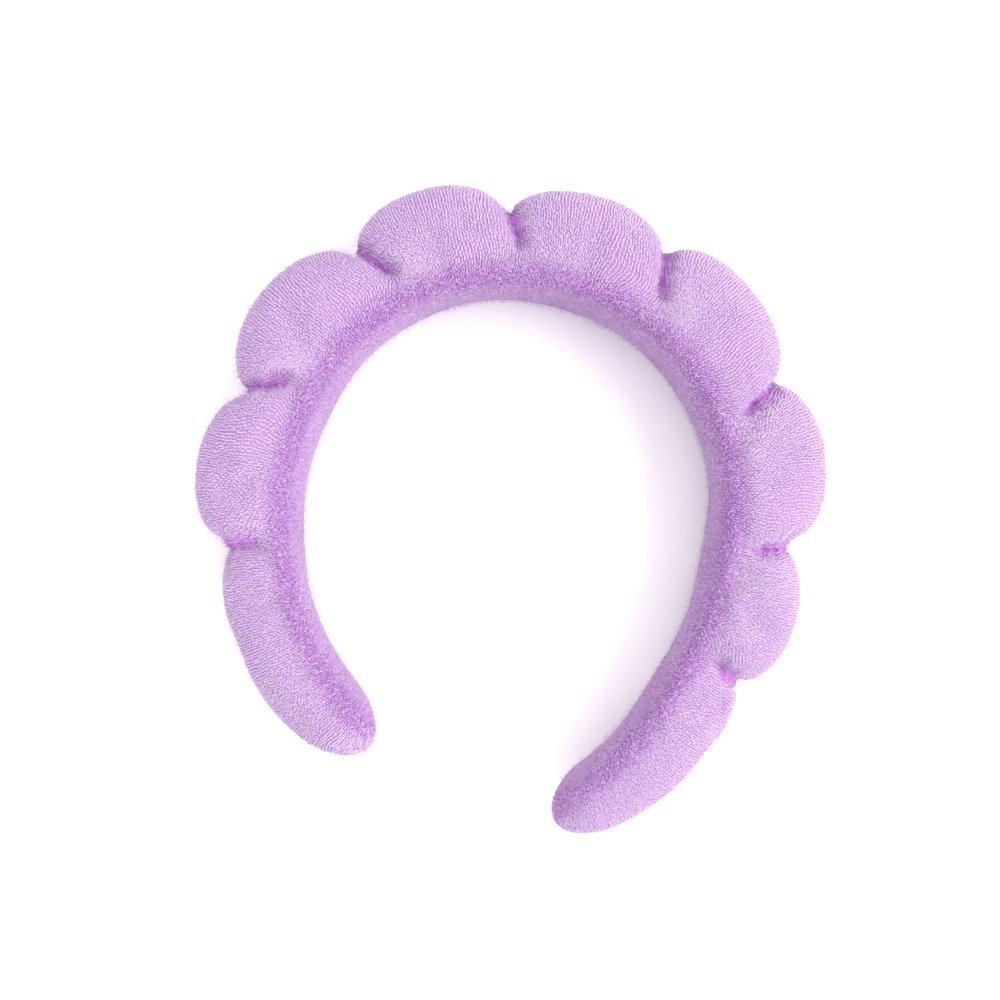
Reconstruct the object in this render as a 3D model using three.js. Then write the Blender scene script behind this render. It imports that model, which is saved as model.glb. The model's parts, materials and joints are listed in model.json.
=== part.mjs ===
// A padded spa headband: a springy plastic hoop between two layers of foam, in a towelling tube that thread
// gathers into seven round puffs and two tapered tips. It lies on its side, as it does on a table.
// Millimetres. +Z is up from the table and +Y points at the crown, the middle of the band. The origin is on the
// table, in the middle of the band's bounding box.
// The hoop flexes along its whole length. Here it bends at the eight gathers, so the band is a chain of nine rigid
// sections, and each section is a group whose own origin is the pivot that it turns about.
import * as THREE from 'three';

// ---- Driving dimensions ----

// The head line is the inner wall's curve, seen from above: one arc over the head and a flatter one in each arm.
const HEAD_RADIUS = 66.5;
const CROWN_ARC_DEG = 78; // from the crown to where an arm starts
const ARM_RADIUS = { left: 89, right: 120 }; // the arms rest a little uneven, as soft ones do
const BAND_HALF_LENGTH = 207; // from the crown to a tip, along the head line
const LENGTHWISE_SCALE = 0.987; // the relaxed band is this much shorter from crown to tips than its arcs

// From the crown to each gather along the head line. The puffs are gathered by hand, so no two are alike.
const GATHERS = { left: [17.5, 55.5, 97.5, 137.5], right: [19.5, 59.5, 100, 140.5] };
const GATHER_THICKNESS = [27, 27, 25.5, 22]; // across the band at a gather, from the head line outwards
const GATHER_HEIGHT = [41, 41, 38, 31];

// Each section's thickness and height at its fullest, and where that is: 0 in its middle, -1 at the crown side.
const CROWN_PUFF = { thickness: 36.2, height: 48, fullest: 0 };
const ARM_PUFFS = [
  { thickness: 37, height: 48, fullest: 0 },
  { thickness: 37, height: 47.5, fullest: 0 },
  { thickness: 33.6, height: 42, fullest: 0 },
];
const TIP = { thickness: 26, height: 34, fullest: -0.4, endThickness: 19, endHeight: 28, roundLength: 15 };
const PUFF_ROUNDNESS = 0.7; // 1 is a parabola along the band and 0.5 an ellipse

// The layers, counted outwards from the head line.
const COVER_WALL = 2.2; // towelling with its pile
const PAD_THICKNESS = 2.4;
const HOOP_THICKNESS = 2;
const HOOP_WIDTH = { crown: 24, tip: 13 };
const HOOP_END_MARGIN = 14; // the hoop stops this far short of the tip
const HOOP_EDGE_GAP = 1; // between the hoop's edges and the towelling, whose inner wall is flat where it lies on it
const CREST_SHARE = 0.42; // where a section is highest, as a share of its thickness
const REST_FLAT = 1.6; // how much the table flattens the crown's underside

const LAYER_GAP = 0.3; // between pieces that touch
const SECTION_GAP = 0.6; // between one section and the next, at the hoop
const THREAD = 0.8; // gathering thread's diameter
const PINCH_DEPTH = 13; // the gathering thread goes through the band this far from the head line
const CLOSING_LOOP = 4.5; // width of the stitch that closes each end of the tube

// How far the first joint of each arm opens, and how the others share its motion, as a strip sprung open at its
// tips bends. The far side of each gather leaves room for its share.
const FLEX_OPEN_DEG = 6;
const FLEX_SHARES = [1, 0.88, 0.55, 0.33];
const GATHER_LEAN = 0.06; // how much both sides of a gather lean away from it, for each mm beyond the pivot

// How finely the shapes are cut.
const AROUND = 20;
const ALONG = 5; // odd, so that one flat facet is in each section's middle
const TIP_ALONG = 8;
const TIP_CAP_SHARE = 0.985; // a tip's last ring, where its blunt end is
const THREAD_SIDES = 6;

// ---- Colours ----

const towelling = new THREE.MeshStandardMaterial({ color: 0xc79fdc, roughness: 0.95, metalness: 0 });
const foam = new THREE.MeshStandardMaterial({ color: 0xf2efe6, roughness: 0.9, metalness: 0 });
const plastic = new THREE.MeshStandardMaterial({ color: 0xf4f4f2, roughness: 0.45, metalness: 0 });
const thread = new THREE.MeshStandardMaterial({ color: 0xa86fc4, roughness: 0.7, metalness: 0 });

// ---- The layers' places, from the dimensions above ----

const PAD_START = COVER_WALL + LAYER_GAP;
const HOOP_START = PAD_START + PAD_THICKNESS + LAYER_GAP;
const PUFF_START = HOOP_START + HOOP_THICKNESS + LAYER_GAP;
const PIVOT_DEPTH = HOOP_START + HOOP_THICKNESS / 2;

// The stiff hoop keeps every section's middle at one height, so only the fullest sections touch the table.
const MIDDLE_HEIGHT = CROWN_PUFF.height / 2 - REST_FLAT;

// ---- The head line ----

// A point of the head line that is a signed distance from the crown, positive to the right, and the unit normal
// there, which points away from the head.
function headLine(distance) {
  const side = distance < 0 ? -1 : 1;
  const along = Math.abs(distance);
  const crownAngle = THREE.MathUtils.degToRad(CROWN_ARC_DEG);
  const crownLength = crownAngle * HEAD_RADIUS;
  const angle = Math.min(along, crownLength) / HEAD_RADIUS;
  const point = new THREE.Vector2(Math.sin(angle), Math.cos(angle)).multiplyScalar(HEAD_RADIUS);
  let normal = new THREE.Vector2(Math.sin(angle), Math.cos(angle));
  if (along > crownLength) {
    const radius = side < 0 ? ARM_RADIUS.left : ARM_RADIUS.right;
    const turned = crownAngle + (along - crownLength) / radius;
    const centre = point.clone().addScaledVector(normal, -radius);
    normal = new THREE.Vector2(Math.sin(turned), Math.cos(turned));
    point.copy(centre).addScaledVector(normal, radius);
  }
  point.x *= side;
  point.y *= LENGTHWISE_SCALE;
  normal.x *= side;
  return { point, normal };
}

// The place of a point that is so far along the head line, outwards from it and up from the table.
function place(along, outwards, up) {
  const { point, normal } = headLine(along);
  return new THREE.Vector3(point.x + normal.x * outwards, point.y + normal.y * outwards, up);
}

// ---- The sections of the band ----

// The nine sections from the left tip to the right one: where each starts and ends, the gaps and sizes there, and
// its own fullness.
function bandSections() {
  const arm = (side) => {
    const sign = side === 'left' ? -1 : 1;
    return [...ARM_PUFFS, TIP].map((full, i) => ({
      name: i < ARM_PUFFS.length ? `${side}_${i + 1}` : `${side}_tip`,
      sign,
      start: GATHERS[side][i],
      end: i < ARM_PUFFS.length ? GATHERS[side][i + 1] : BAND_HALF_LENGTH,
      startGather: i,
      endGather: i < ARM_PUFFS.length ? i + 1 : null,
      ...full,
    }));
  };
  const crown = {
    name: 'crown',
    sign: 1,
    start: -GATHERS.left[0],
    end: GATHERS.right[0],
    startGather: 0,
    endGather: 0,
    ...CROWN_PUFF,
  };
  return { crown, left: arm('left'), right: arm('right') };
}

// How far a section's end keeps from a gather, for a point so far outwards from the head line. The end on the
// tip's side of the gather is the one that swings, so it keeps its swing away as well.
function gapAt(gather, outwards, swings) {
  if (gather === null) return 0;
  const swing = swings ? Math.tan(THREE.MathUtils.degToRad(FLEX_OPEN_DEG * FLEX_SHARES[gather])) : 0;
  return SECTION_GAP / 2 + Math.max(0, outwards - PIVOT_DEPTH) * (GATHER_LEAN + swing);
}

// The band's thickness and height at a share of a section, from 0 at its start to 1 at its end.
function sizeAt(section, share) {
  const { lerp } = THREE.MathUtils;
  const isTip = section.endGather === null;
  const from = section.startGather;
  const to = section.endGather;
  const endThickness = isTip ? section.endThickness : GATHER_THICKNESS[to];
  const endHeight = isTip ? section.endHeight : GATHER_HEIGHT[to];
  const u = 2 * share - 1;
  const shifted = u - section.fullest * (1 - u * u);
  const swell = Math.max(0, 1 - shifted * shifted) ** PUFF_ROUNDNESS;
  const baseThickness = lerp(GATHER_THICKNESS[from], endThickness, share);
  const baseHeight = lerp(GATHER_HEIGHT[from], endHeight, share);
  return {
    thickness: lerp(baseThickness, Math.max(section.thickness, baseThickness), swell),
    height: lerp(baseHeight, Math.max(section.height, baseHeight), swell),
  };
}

// The hoop's width at a distance from the crown. It narrows evenly to the tip.
function hoopWidth(along) {
  return THREE.MathUtils.lerp(HOOP_WIDTH.crown, HOOP_WIDTH.tip, along / BAND_HALF_LENGTH);
}

// The closed outline of one cross-section, drawn the given distance inside the cover's outer face: points of
// (outwards, up), with a flat inner wall, a rounded outer face, and an underside that the table flattens.
function outline({ thickness, height }, hoop, inset, innermost) {
  const crest = thickness * CREST_SHARE;
  const half = height / 2;
  const wall = hoop / 2 + HOOP_EDGE_GAP + COVER_WALL;
  return Array.from({ length: AROUND }, (_, i) => {
    const angle = ((i + 0.5) / AROUND) * 2 * Math.PI;
    const isOuter = Math.cos(angle) > 0;
    const reach = ((isOuter ? thickness - crest : crest) - inset) / Math.cos(Math.PI / AROUND);
    const outwards = Math.max(innermost, crest + reach * Math.cos(angle));
    const lift = isOuter ? 0 : wall - inset;
    const rise = isOuter ? half - inset : half - wall;
    const up = Math.sign(Math.sin(angle)) * lift + rise * Math.sin(angle);
    return new THREE.Vector2(outwards, Math.max(inset, MIDDLE_HEIGHT + up));
  });
}

// One ring of a section's surface in space. The two ends of a section lean away from its gathers by their gaps, and
// the rings between them share that out. A tip's last rings shrink to round it off.
function ring(section, share, inset, innermost) {
  const isTip = section.endGather === null;
  const size = sizeAt(section, share);
  const length = section.end - section.start;
  const points = outline(size, hoopWidth(Math.abs(section.start + share * length)), inset, innermost);
  const roundShare = isTip ? section.roundLength / length : 0;
  const intoRound = isTip ? Math.max(0, (share - 1 + roundShare) / roundShare) : 0;
  const shrink = Math.sqrt(Math.max(0, 1 - intoRound * intoRound));
  const middle = new THREE.Vector2(size.thickness / 2, MIDDLE_HEIGHT);
  return points.map((p) => {
    const q = p.clone().sub(middle).multiplyScalar(shrink).add(middle);
    const from = section.start + gapAt(section.startGather, q.x, section.name !== 'crown');
    const to = section.end - gapAt(section.endGather, q.x, false) - (isTip ? inset : 0);
    return place(section.sign * THREE.MathUtils.lerp(from, to, share), q.x, q.y);
  });
}

// Shares of a section at which rings are cut, closer together towards its ends.
function ringShares(section) {
  const isTip = section.endGather === null;
  const steps = isTip ? TIP_ALONG : ALONG;
  const last = isTip ? TIP_CAP_SHARE : 1;
  return Array.from({ length: steps + 1 }, (_, i) => last * (0.5 - 0.5 * Math.cos((Math.PI * i) / steps)));
}

// ---- Solids ----

// A closed surface through rings of equally many points. A loop joins the last ring to the first, as round a tube's
// wall; otherwise the first and last rings are capped.
function loft(rings, isLoop) {
  const around = rings[0].length;
  const positions = rings.flat().flatMap((p) => [p.x, p.y, p.z]);
  const faces = [];
  const rows = isLoop ? rings.length : rings.length - 1;
  for (let i = 0; i < rows; i++) {
    const a = i * around;
    const b = ((i + 1) % rings.length) * around;
    for (let j = 0; j < around; j++) {
      const k = (j + 1) % around;
      faces.push([a + j, a + k, b + k], [a + j, b + k, b + j]);
    }
  }
  if (!isLoop) {
    const b = (rings.length - 1) * around;
    for (let j = 1; j < around - 1; j++) faces.push([0, j + 1, j], [b, b + j, b + j + 1]);
  }
  const corner = (i) => new THREE.Vector3().fromArray(positions, 3 * i);
  const volume = faces.reduce((sum, [a, b, c]) => sum + corner(a).dot(corner(b).cross(corner(c))), 0);
  if (volume < 0) faces.forEach((f) => f.reverse());
  const geometry = new THREE.BufferGeometry();
  geometry.setAttribute('position', new THREE.Float32BufferAttribute(positions, 3));
  geometry.setIndex(faces.flat());
  return geometry;
}

// The towelling round one section: a tube that is open at its gathers, or a cup at a tip.
function coverGeometry(section) {
  const shares = ringShares(section);
  const outside = shares.map((s) => ring(section, s, 0, 0));
  const inside = shares.map((s) => ring(section, s, COVER_WALL, 0));
  const isTip = section.endGather === null;
  return loft([...inside.reverse(), ...outside], !isTip);
}

// The foam that fills a section, from the hoop outwards. Its rings run the same way as those of the cover's inside,
// so that both surfaces are split into the same triangles and the gap between them stays even.
function puffGeometry(section) {
  const rings = ringShares(section).map((s) => ring(section, s, COVER_WALL + LAYER_GAP, PUFF_START));
  return loft(rings.reverse(), false);
}

// A flat strip along the head line, of a given thickness and a width that changes evenly along the whole arm. It
// is cut at the cover's rings, so the space between the two stays even.
function stripGeometry(section, outwards, thickness) {
  const isTip = section.endGather === null;
  const start = section.start + SECTION_GAP / 2;
  const end = section.end - (isTip ? 0 : SECTION_GAP / 2);
  const shares = ringShares(section).filter((s) => !isTip || (1 - s) * (end - start) > HOOP_END_MARGIN);
  const rings = shares.map((share) => {
    const along = THREE.MathUtils.lerp(start, end, share);
    const half = hoopWidth(Math.abs(along)) / 2;
    return [[0, -half], [thickness, -half], [thickness, half], [0, half]].map(
      ([n, z]) => place(section.sign * along, outwards + n, MIDDLE_HEIGHT + z));
  });
  return loft(rings, false);
}

// A closed loop of thread, through points of (outwards, up) in the plane across the band at one place.
function threadGeometry(along, points) {
  const sideways = place(along + 1, 0, 0).sub(place(along, 0, 0)).normalize();
  const path = new THREE.CatmullRomCurve3(points.map(([n, z]) => place(along, n, z)), true);
  const count = 2 * points.length;
  const rings = Array.from({ length: count }, (_, i) => {
    const centre = path.getPoint(i / count);
    const across = path.getTangent(i / count).cross(sideways).normalize();
    return Array.from({ length: THREAD_SIDES }, (_unused, j) => {
      const angle = (2 * Math.PI * j) / THREAD_SIDES;
      const reach = across.clone().multiplyScalar(Math.cos(angle)).addScaledVector(sideways, Math.sin(angle));
      return centre.clone().addScaledVector(reach, THREAD / 2);
    });
  });
  return loft(rings, true);
}

// The thread that draws a gather in: out of the band at the pinch, over its outer edge, and back through.
function gatherGeometry(sign, along, gather) {
  const reach = GATHER_THICKNESS[gather] - PINCH_DEPTH - THREAD;
  const rise = GATHER_HEIGHT[gather] / 2 - THREAD;
  const arc = Array.from({ length: 9 }, (_, i) => {
    const angle = (Math.PI * (i - 4)) / 8;
    return [PINCH_DEPTH + reach * Math.cos(angle), MIDDLE_HEIGHT + rise * Math.sin(angle)];
  });
  return threadGeometry(sign * along, [...arc, [PINCH_DEPTH, MIDDLE_HEIGHT]]);
}

// The loop of thread that closes the tube at a tip.
function closingStitchGeometry(section) {
  const cap = THREE.MathUtils.lerp(section.start, section.end, TIP_CAP_SHARE);
  const loop = Array.from({ length: 8 }, (_, i) => {
    const angle = (Math.PI * i) / 4;
    return [
      section.endThickness / 2 + (CLOSING_LOOP / 2) * Math.cos(angle),
      MIDDLE_HEIGHT + (CLOSING_LOOP / 2) * Math.sin(angle),
    ];
  });
  return threadGeometry(section.sign * (cap + THREAD / 2 + LAYER_GAP), loop);
}

// ---- Assembly ----

// A group for one rigid section, inside the group of the section that it hangs on. Its origin is its pivot.
function sectionGroup(parent, pivot) {
  const group = new THREE.Group();
  parent.add(group);
  parent.updateMatrixWorld(true);
  group.position.copy(parent.worldToLocal(pivot.clone()));
  group.updateMatrixWorld(true);
  return group;
}

// Adds a named piece, whose geometry is drawn in the part's frame, to a section's group.
function addPiece(group, name, geometry, material) {
  const mesh = new THREE.Mesh(geometry, material);
  mesh.name = name;
  mesh.position.copy(group.worldToLocal(new THREE.Vector3()));
  group.add(mesh);
}

function addLayers(group, section) {
  addPiece(group, `cover_${section.name}`, coverGeometry(section), towelling);
  addPiece(group, `puff_${section.name}`, puffGeometry(section), foam);
  addPiece(group, `hoop_${section.name}`, stripGeometry(section, HOOP_START, HOOP_THICKNESS), plastic);
  addPiece(group, `pad_${section.name}`, stripGeometry(section, PAD_START, PAD_THICKNESS), foam);
}

const band = new THREE.Group();
const sections = bandSections();
const crown = sectionGroup(band, new THREE.Vector3());
addLayers(crown, sections.crown);
for (const side of ['left', 'right']) {
  let carrier = crown;
  sections[side].forEach((section, i) => {
    const along = section.sign * section.start;
    addPiece(carrier, `gather_${side}_${i + 1}`, gatherGeometry(section.sign, section.start, i), thread);
    carrier = sectionGroup(carrier, place(along, PIVOT_DEPTH, 0));
    addLayers(carrier, section);
  });
  addPiece(carrier, `closing_stitch_${side}`, closingStitchGeometry(sections[side].at(-1)), thread);
}

// The table's surface and the middle of the bounding box become the origin.
const box = new THREE.Box3().setFromObject(band, true);
const centre = box.getCenter(new THREE.Vector3());
band.position.set(-centre.x, -centre.y, -box.min.z);

export default band;
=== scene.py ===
# %% [markdown]
# # A towelling spa headband
# This headband is a springy plastic hoop in a padded towelling tube. Thread gathers the tube into seven
# round puffs, and its two ends taper smoothly. We load the engineering model first, as a fixed frame:
# it gives the joints that the band flexes at, and the hoop and the foam pad that we keep. Everything
# soft is made here.

import json
import math

import bpy
import numpy as np
from mathutils import Matrix, Vector


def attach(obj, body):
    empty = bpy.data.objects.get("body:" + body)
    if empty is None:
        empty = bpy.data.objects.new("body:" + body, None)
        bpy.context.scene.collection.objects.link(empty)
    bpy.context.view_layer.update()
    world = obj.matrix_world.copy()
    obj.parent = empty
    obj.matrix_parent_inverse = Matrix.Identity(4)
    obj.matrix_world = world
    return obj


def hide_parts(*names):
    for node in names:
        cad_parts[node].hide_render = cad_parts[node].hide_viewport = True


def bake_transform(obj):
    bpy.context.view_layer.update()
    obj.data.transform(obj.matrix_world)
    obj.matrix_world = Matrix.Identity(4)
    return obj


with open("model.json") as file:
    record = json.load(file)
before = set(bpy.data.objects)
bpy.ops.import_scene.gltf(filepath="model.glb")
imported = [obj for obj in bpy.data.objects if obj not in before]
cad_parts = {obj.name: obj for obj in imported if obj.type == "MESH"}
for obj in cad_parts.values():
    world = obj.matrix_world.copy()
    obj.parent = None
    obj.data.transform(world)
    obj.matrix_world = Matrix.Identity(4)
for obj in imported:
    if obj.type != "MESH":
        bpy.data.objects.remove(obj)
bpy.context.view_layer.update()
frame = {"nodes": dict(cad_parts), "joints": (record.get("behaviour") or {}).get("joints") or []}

# %% [markdown]
# ## The camera, the table and the light
# The band lies on its side and we look straight down at it, a little turned, from 43 cm above the
# table. A perspective camera shows the inside wall of the band, as an eye does. The table is white. One
# large soft light stands at the right, and a white sky fills the shadows, as a tent of white cloth
# would.

# %% The camera
CAMERA_HEIGHT = 0.4317
CAMERA_TURN = math.radians(14.9)
CAMERA_AIM = (-0.0035, -0.0011)  # the camera looks this far from the band's middle
FOCAL_SHARE = 1.254  # focal length as a share of the sensor's width

view_right = Vector((math.cos(CAMERA_TURN), math.sin(CAMERA_TURN), 0))
view_up = Vector((-math.sin(CAMERA_TURN), math.cos(CAMERA_TURN), 0))
camera_data = bpy.data.cameras.new("camera")
camera_data.sensor_width = 36
camera_data.lens = FOCAL_SHARE * camera_data.sensor_width
camera_data.clip_start = 0.01
camera = bpy.data.objects.new("camera", camera_data)
bpy.context.scene.collection.objects.link(camera)
looking = Matrix((view_right, view_up, Vector((0, 0, 1)))).transposed().to_4x4()
camera.matrix_world = (
    Matrix.Translation(CAMERA_AIM[0] * view_right + CAMERA_AIM[1] * view_up + Vector((0, 0, CAMERA_HEIGHT)))
    @ looking
)
bpy.context.scene.camera = camera
bpy.context.scene.view_settings.view_transform = "Standard"


# %% The table and the light
def plain_material(name, colour, roughness):
    """A material of one colour, for what isn't part of the object."""
    material = bpy.data.materials.new(name)
    material.use_nodes = True
    shader = material.node_tree.nodes["Principled BSDF"]
    shader.inputs["Base Color"].default_value = (*colour, 1)
    shader.inputs["Roughness"].default_value = roughness
    return material


def area_light(name, place, aim, size, power, colour):
    """A square soft light that points at a place."""
    data = bpy.data.lights.new(name, "AREA")
    data.size, data.energy, data.color = size, power, colour
    light = bpy.data.objects.new(name, data)
    light.location = place
    light.rotation_mode = "QUATERNION"
    light.rotation_quaternion = (Vector(place) - Vector(aim)).to_track_quat("Z", "Y")
    bpy.context.scene.collection.objects.link(light)
    return light


TABLE_HALF = 3.0
table_mesh = bpy.data.meshes.new("table")
corners = [(TABLE_HALF * x, TABLE_HALF * y, 0) for x, y in ((-1, -1), (1, -1), (1, 1), (-1, 1))]
table_mesh.from_pydata(corners, [], [(0, 1, 2, 3)])
table_mesh.materials.append(plain_material("white_table", (0.95, 0.945, 0.95), 0.6))
table = bpy.data.objects.new("table", table_mesh)
bpy.context.scene.collection.objects.link(table)

key_place = 1.12 * view_right - 0.05 * view_up + Vector((0, 0, 1.15))
area_light("key_light", key_place, (0, 0, 0.02), 1.1, 20.0, (1.0, 0.985, 0.97))
world = bpy.data.worlds.new("white_sky")
world.use_nodes = True
world.node_tree.nodes["Background"].inputs["Color"].default_value = (1.0, 0.985, 0.99, 1)
world.node_tree.nodes["Background"].inputs["Strength"].default_value = 1.48
bpy.context.scene.world = world

# %% [markdown]
# ## The band's line and its cross-section
# A padded band is easiest to think of as a line with a changing cross-section. The line is where the
# inner wall meets the head, seen from above: one arc over the head and a flatter one in each arm. Every
# place on the band is then three numbers: how far along the line from the crown, how far outwards from
# it, and how far up or down from the middle of the band's width. Lofting like this keeps the
# towelling's ribs running straight across the band.

# %% The line, in millimetres
MM = 0.001
HEAD_RADIUS = 66.5
CROWN_ARC = math.radians(78)
ARM_RADIUS = {-1: 89.0, 1: 120.0}  # the left arm and the right one
HALF_LENGTH = 207.0
GATHERS = [-137.5, -97.5, -55.5, -17.5, 19.5, 59.5, 100.0, 140.5]
LENGTHWISE_SCALE = 0.987  # the relaxed band is this much shorter from crown to tips than its arcs
HINGE_DEPTH = 6.2  # outwards from the line, in the middle of the hoop
MIDDLE_HEIGHT = 22.4  # of the band's width above the table

SECTIONS = ["left_tip", "left_3", "left_2", "left_1", "crown", "right_1", "right_2", "right_3", "right_tip"]
first_hinge = next(Vector(j["pos_m"]) for j in frame["joints"] if j["name"] == "right_flex_1")
hinge_turn = GATHERS[4] / HEAD_RADIUS
band_x = first_hinge.x - (HEAD_RADIUS + HINGE_DEPTH) * math.sin(hinge_turn) * MM
band_y = first_hinge.y - (HEAD_RADIUS * LENGTHWISE_SCALE + HINGE_DEPTH) * math.cos(hinge_turn) * MM
print(f"the crown arc's centre is at {band_x * 1000:.2f}, {band_y * 1000:.2f} mm")


def head_line(along):
    """Points of the line and the normals that point away from the head, for distances from the crown."""
    along = np.asarray(along, float)
    side = np.where(along < 0, -1, 1)
    arm = np.where(along < 0, ARM_RADIUS[-1], ARM_RADIUS[1])
    crown_length = CROWN_ARC * HEAD_RADIUS
    angle = np.minimum(np.abs(along), crown_length) / HEAD_RADIUS
    past = np.maximum(np.abs(along) - crown_length, 0)
    start = np.stack([np.sin(angle), np.cos(angle)], -1)
    turned = angle + past / arm
    normal = np.stack([np.sin(turned), np.cos(turned)], -1)
    point = start * (HEAD_RADIUS - arm[..., None]) + normal * arm[..., None]
    mirror = np.stack([side, np.ones_like(side)], -1)
    return point * mirror * [1, LENGTHWISE_SCALE], normal * mirror


def place(along, outwards, up):
    """Places in the frame, in metres, from the three numbers in millimetres."""
    point, normal = head_line(along)
    flat = point + normal * np.asarray(outwards)[..., None]
    height = np.broadcast_to(np.asarray(up) + MIDDLE_HEIGHT, flat.shape[:-1])
    shift = np.array([band_x, band_y, 0])
    return np.concatenate([flat, height[..., None]], -1) * MM + shift


# %% [markdown]
# ## The shape of the puffs
# Between two gathers the stuffed tube swells into a puff. Its thickness and height rise fast beside the
# gather and are nearly level in the middle, like a cushion between two seams. The tips have no gather
# at their end, so they are fullest near their start and taper from there.

# %% Thickness and height along the band
PILE = 0.8  # the woven ground lies this far under the tops of the loops
EDGES = [-HALF_LENGTH, *GATHERS, HALF_LENGTH]
EDGE_THICKNESS = [18.5, 24.0, 26.4, 28.0, 28.0, 28.0, 27.6, 25.8, 22.8, 18.2]
EDGE_HEIGHT = [28.0, 32.5, 39.5, 42.5, 43.5, 43.5, 42.5, 40.0, 32.5, 28.0]
FULL_THICKNESS = [27.0, 34.2, 37.0, 37.4, 36.0, 36.6, 36.4, 32.6, 25.6]
FULL_HEIGHT = [34.0, 42.0, 47.5, 48.0, 48.0, 48.0, 47.5, 42.0, 34.0]
FULLEST = [0.4, 0.0, 0.1, 0.0, 0.0, 0.0, 0.0, 0.0, -0.4]
ROUNDNESS = 2.5  # 2 is a parabola along the band; more is flatter in the middle and steeper at the ends
TIP_ROUND = 15.0  # length of a tip's rounded end
CREST_SHARE = 0.42


def swell(along):
    """The band's thickness and height at distances from the crown."""
    lobe = np.clip(np.searchsorted(EDGES, along, side="right") - 1, 0, len(SECTIONS) - 1)
    edges, thick, high = np.array(EDGES), np.array(EDGE_THICKNESS), np.array(EDGE_HEIGHT)
    share = (along - edges[lobe]) / (edges[lobe + 1] - edges[lobe])
    u = 2 * share - 1
    shifted = u - np.array(FULLEST)[lobe] * (1 - u * u)
    full = np.maximum(0, 1 - np.abs(shifted) ** ROUNDNESS)
    thickness = thick[lobe] + (thick[lobe + 1] - thick[lobe]) * share
    height = high[lobe] + (high[lobe + 1] - high[lobe]) * share
    thickness = thickness + np.maximum(np.array(FULL_THICKNESS)[lobe] - thickness, 0) * full
    height = height + np.maximum(np.array(FULL_HEIGHT)[lobe] - height, 0) * full
    return thickness, height


# %% The outline of one cross-section
WALL_HALF = {"crown": 15.4, "tip": 9.6}  # half height of the flat inner wall
WALL_BULGE = 0.8
CORNER_POWER = 2 / 2.3
AROUND = 144
TABLE_FLAT = 21.5  # the table stops the underside this far below the middle


def outline(along, thickness, height):
    """AROUND points of (outwards, up), evenly spaced, from the inner wall's lower corner up and round."""
    reach = abs(along) / HALF_LENGTH
    wall = WALL_HALF["crown"] + (WALL_HALF["tip"] - WALL_HALF["crown"]) * reach
    wall = min(wall, height / 2 - 3) - PILE
    crest, half, outer = thickness * CREST_SHARE, height / 2 - PILE, thickness - PILE
    turn = np.linspace(0, math.pi / 2, 60)[1:]
    rise, run = np.sin(turn) ** CORNER_POWER, np.cos(turn) ** CORNER_POWER
    up_wall = np.linspace(-wall, wall, 50)
    inner = np.stack([PILE - WALL_BULGE * (1 - (up_wall / wall) ** 2), up_wall], -1)
    over = np.stack([PILE + (crest - PILE) * (1 - run), wall + (half - wall) * rise], -1)
    down = np.stack([crest + (outer - crest) * rise, half * run], -1)
    lower = np.concatenate([over, down[:-1]])[::-1] * [1, -1]
    points = np.concatenate([inner, over, down, lower, inner[:1]])
    drop = points[:, 1] + TABLE_FLAT
    points[:, 1] = -TABLE_FLAT + 0.5 * (drop + np.sqrt(drop**2 + 0.5))
    length = np.concatenate([[0], np.cumsum(np.linalg.norm(np.diff(points, axis=0), axis=1))])
    at = np.linspace(0, length[-1], AROUND + 1)[:-1]
    return np.stack([np.interp(at, length, points[:, k]) for k in (0, 1)], -1), length[-1]


# %% [markdown]
# ## The gathers
# At a gather, thread goes through the band a third of the way out from the head and is pulled tight
# over the outer edge. So the crease is deep at the outer edge, runs in over the top and the underside,
# and ends in a small dimple where the thread goes through; nearer the head, the cloth carries on
# smooth. The two walls of a crease are like two cushions that touch: steep at the bottom and rounding
# out quickly. The thread was pulled a little to one side, so each crease leans: its inner end lies
# further along the band than its notch. Small puckers cross it.

# %% The creases
random = np.random.default_rng(11)
PINCH = 14.0  # outwards from the line, where the thread goes through
CREASE_WIDTH = 8.0
CREASE_DEPTH = [2.6, 4.8, 5.6, 5.6, 5.6, 5.2, 4.4, 2.4]  # on the top and the underside
EDGE_DEPTH_SHARE = 0.2  # of that, at the outer edge
DIMPLE_DEPTH = 2.2
PUCKER_DEPTH, PUCKER_PITCH = 0.32, 4.6
CREASE_LEAN = [0.10, 0.62, 0.46, 0.23, 0.44, 0.36, 0.24, -0.27]  # sideways, for each millimetre inwards
crease_wander = random.uniform(-0.06, 0.06, (len(GATHERS), 2))
pucker_phase = random.uniform(0, 2 * math.pi, (len(GATHERS), 2))


def smooth(x):
    x = np.clip(x, 0, 1)
    return x * x * (3 - 2 * x)


def pillow(x):
    """1 at a crease's bottom and 0 where its wall has rounded out, steepest at the bottom."""
    near = np.clip(1 - np.abs(x), 0, 1)
    return 1 - np.sqrt(np.maximum(0, 1 - near**2))


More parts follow.
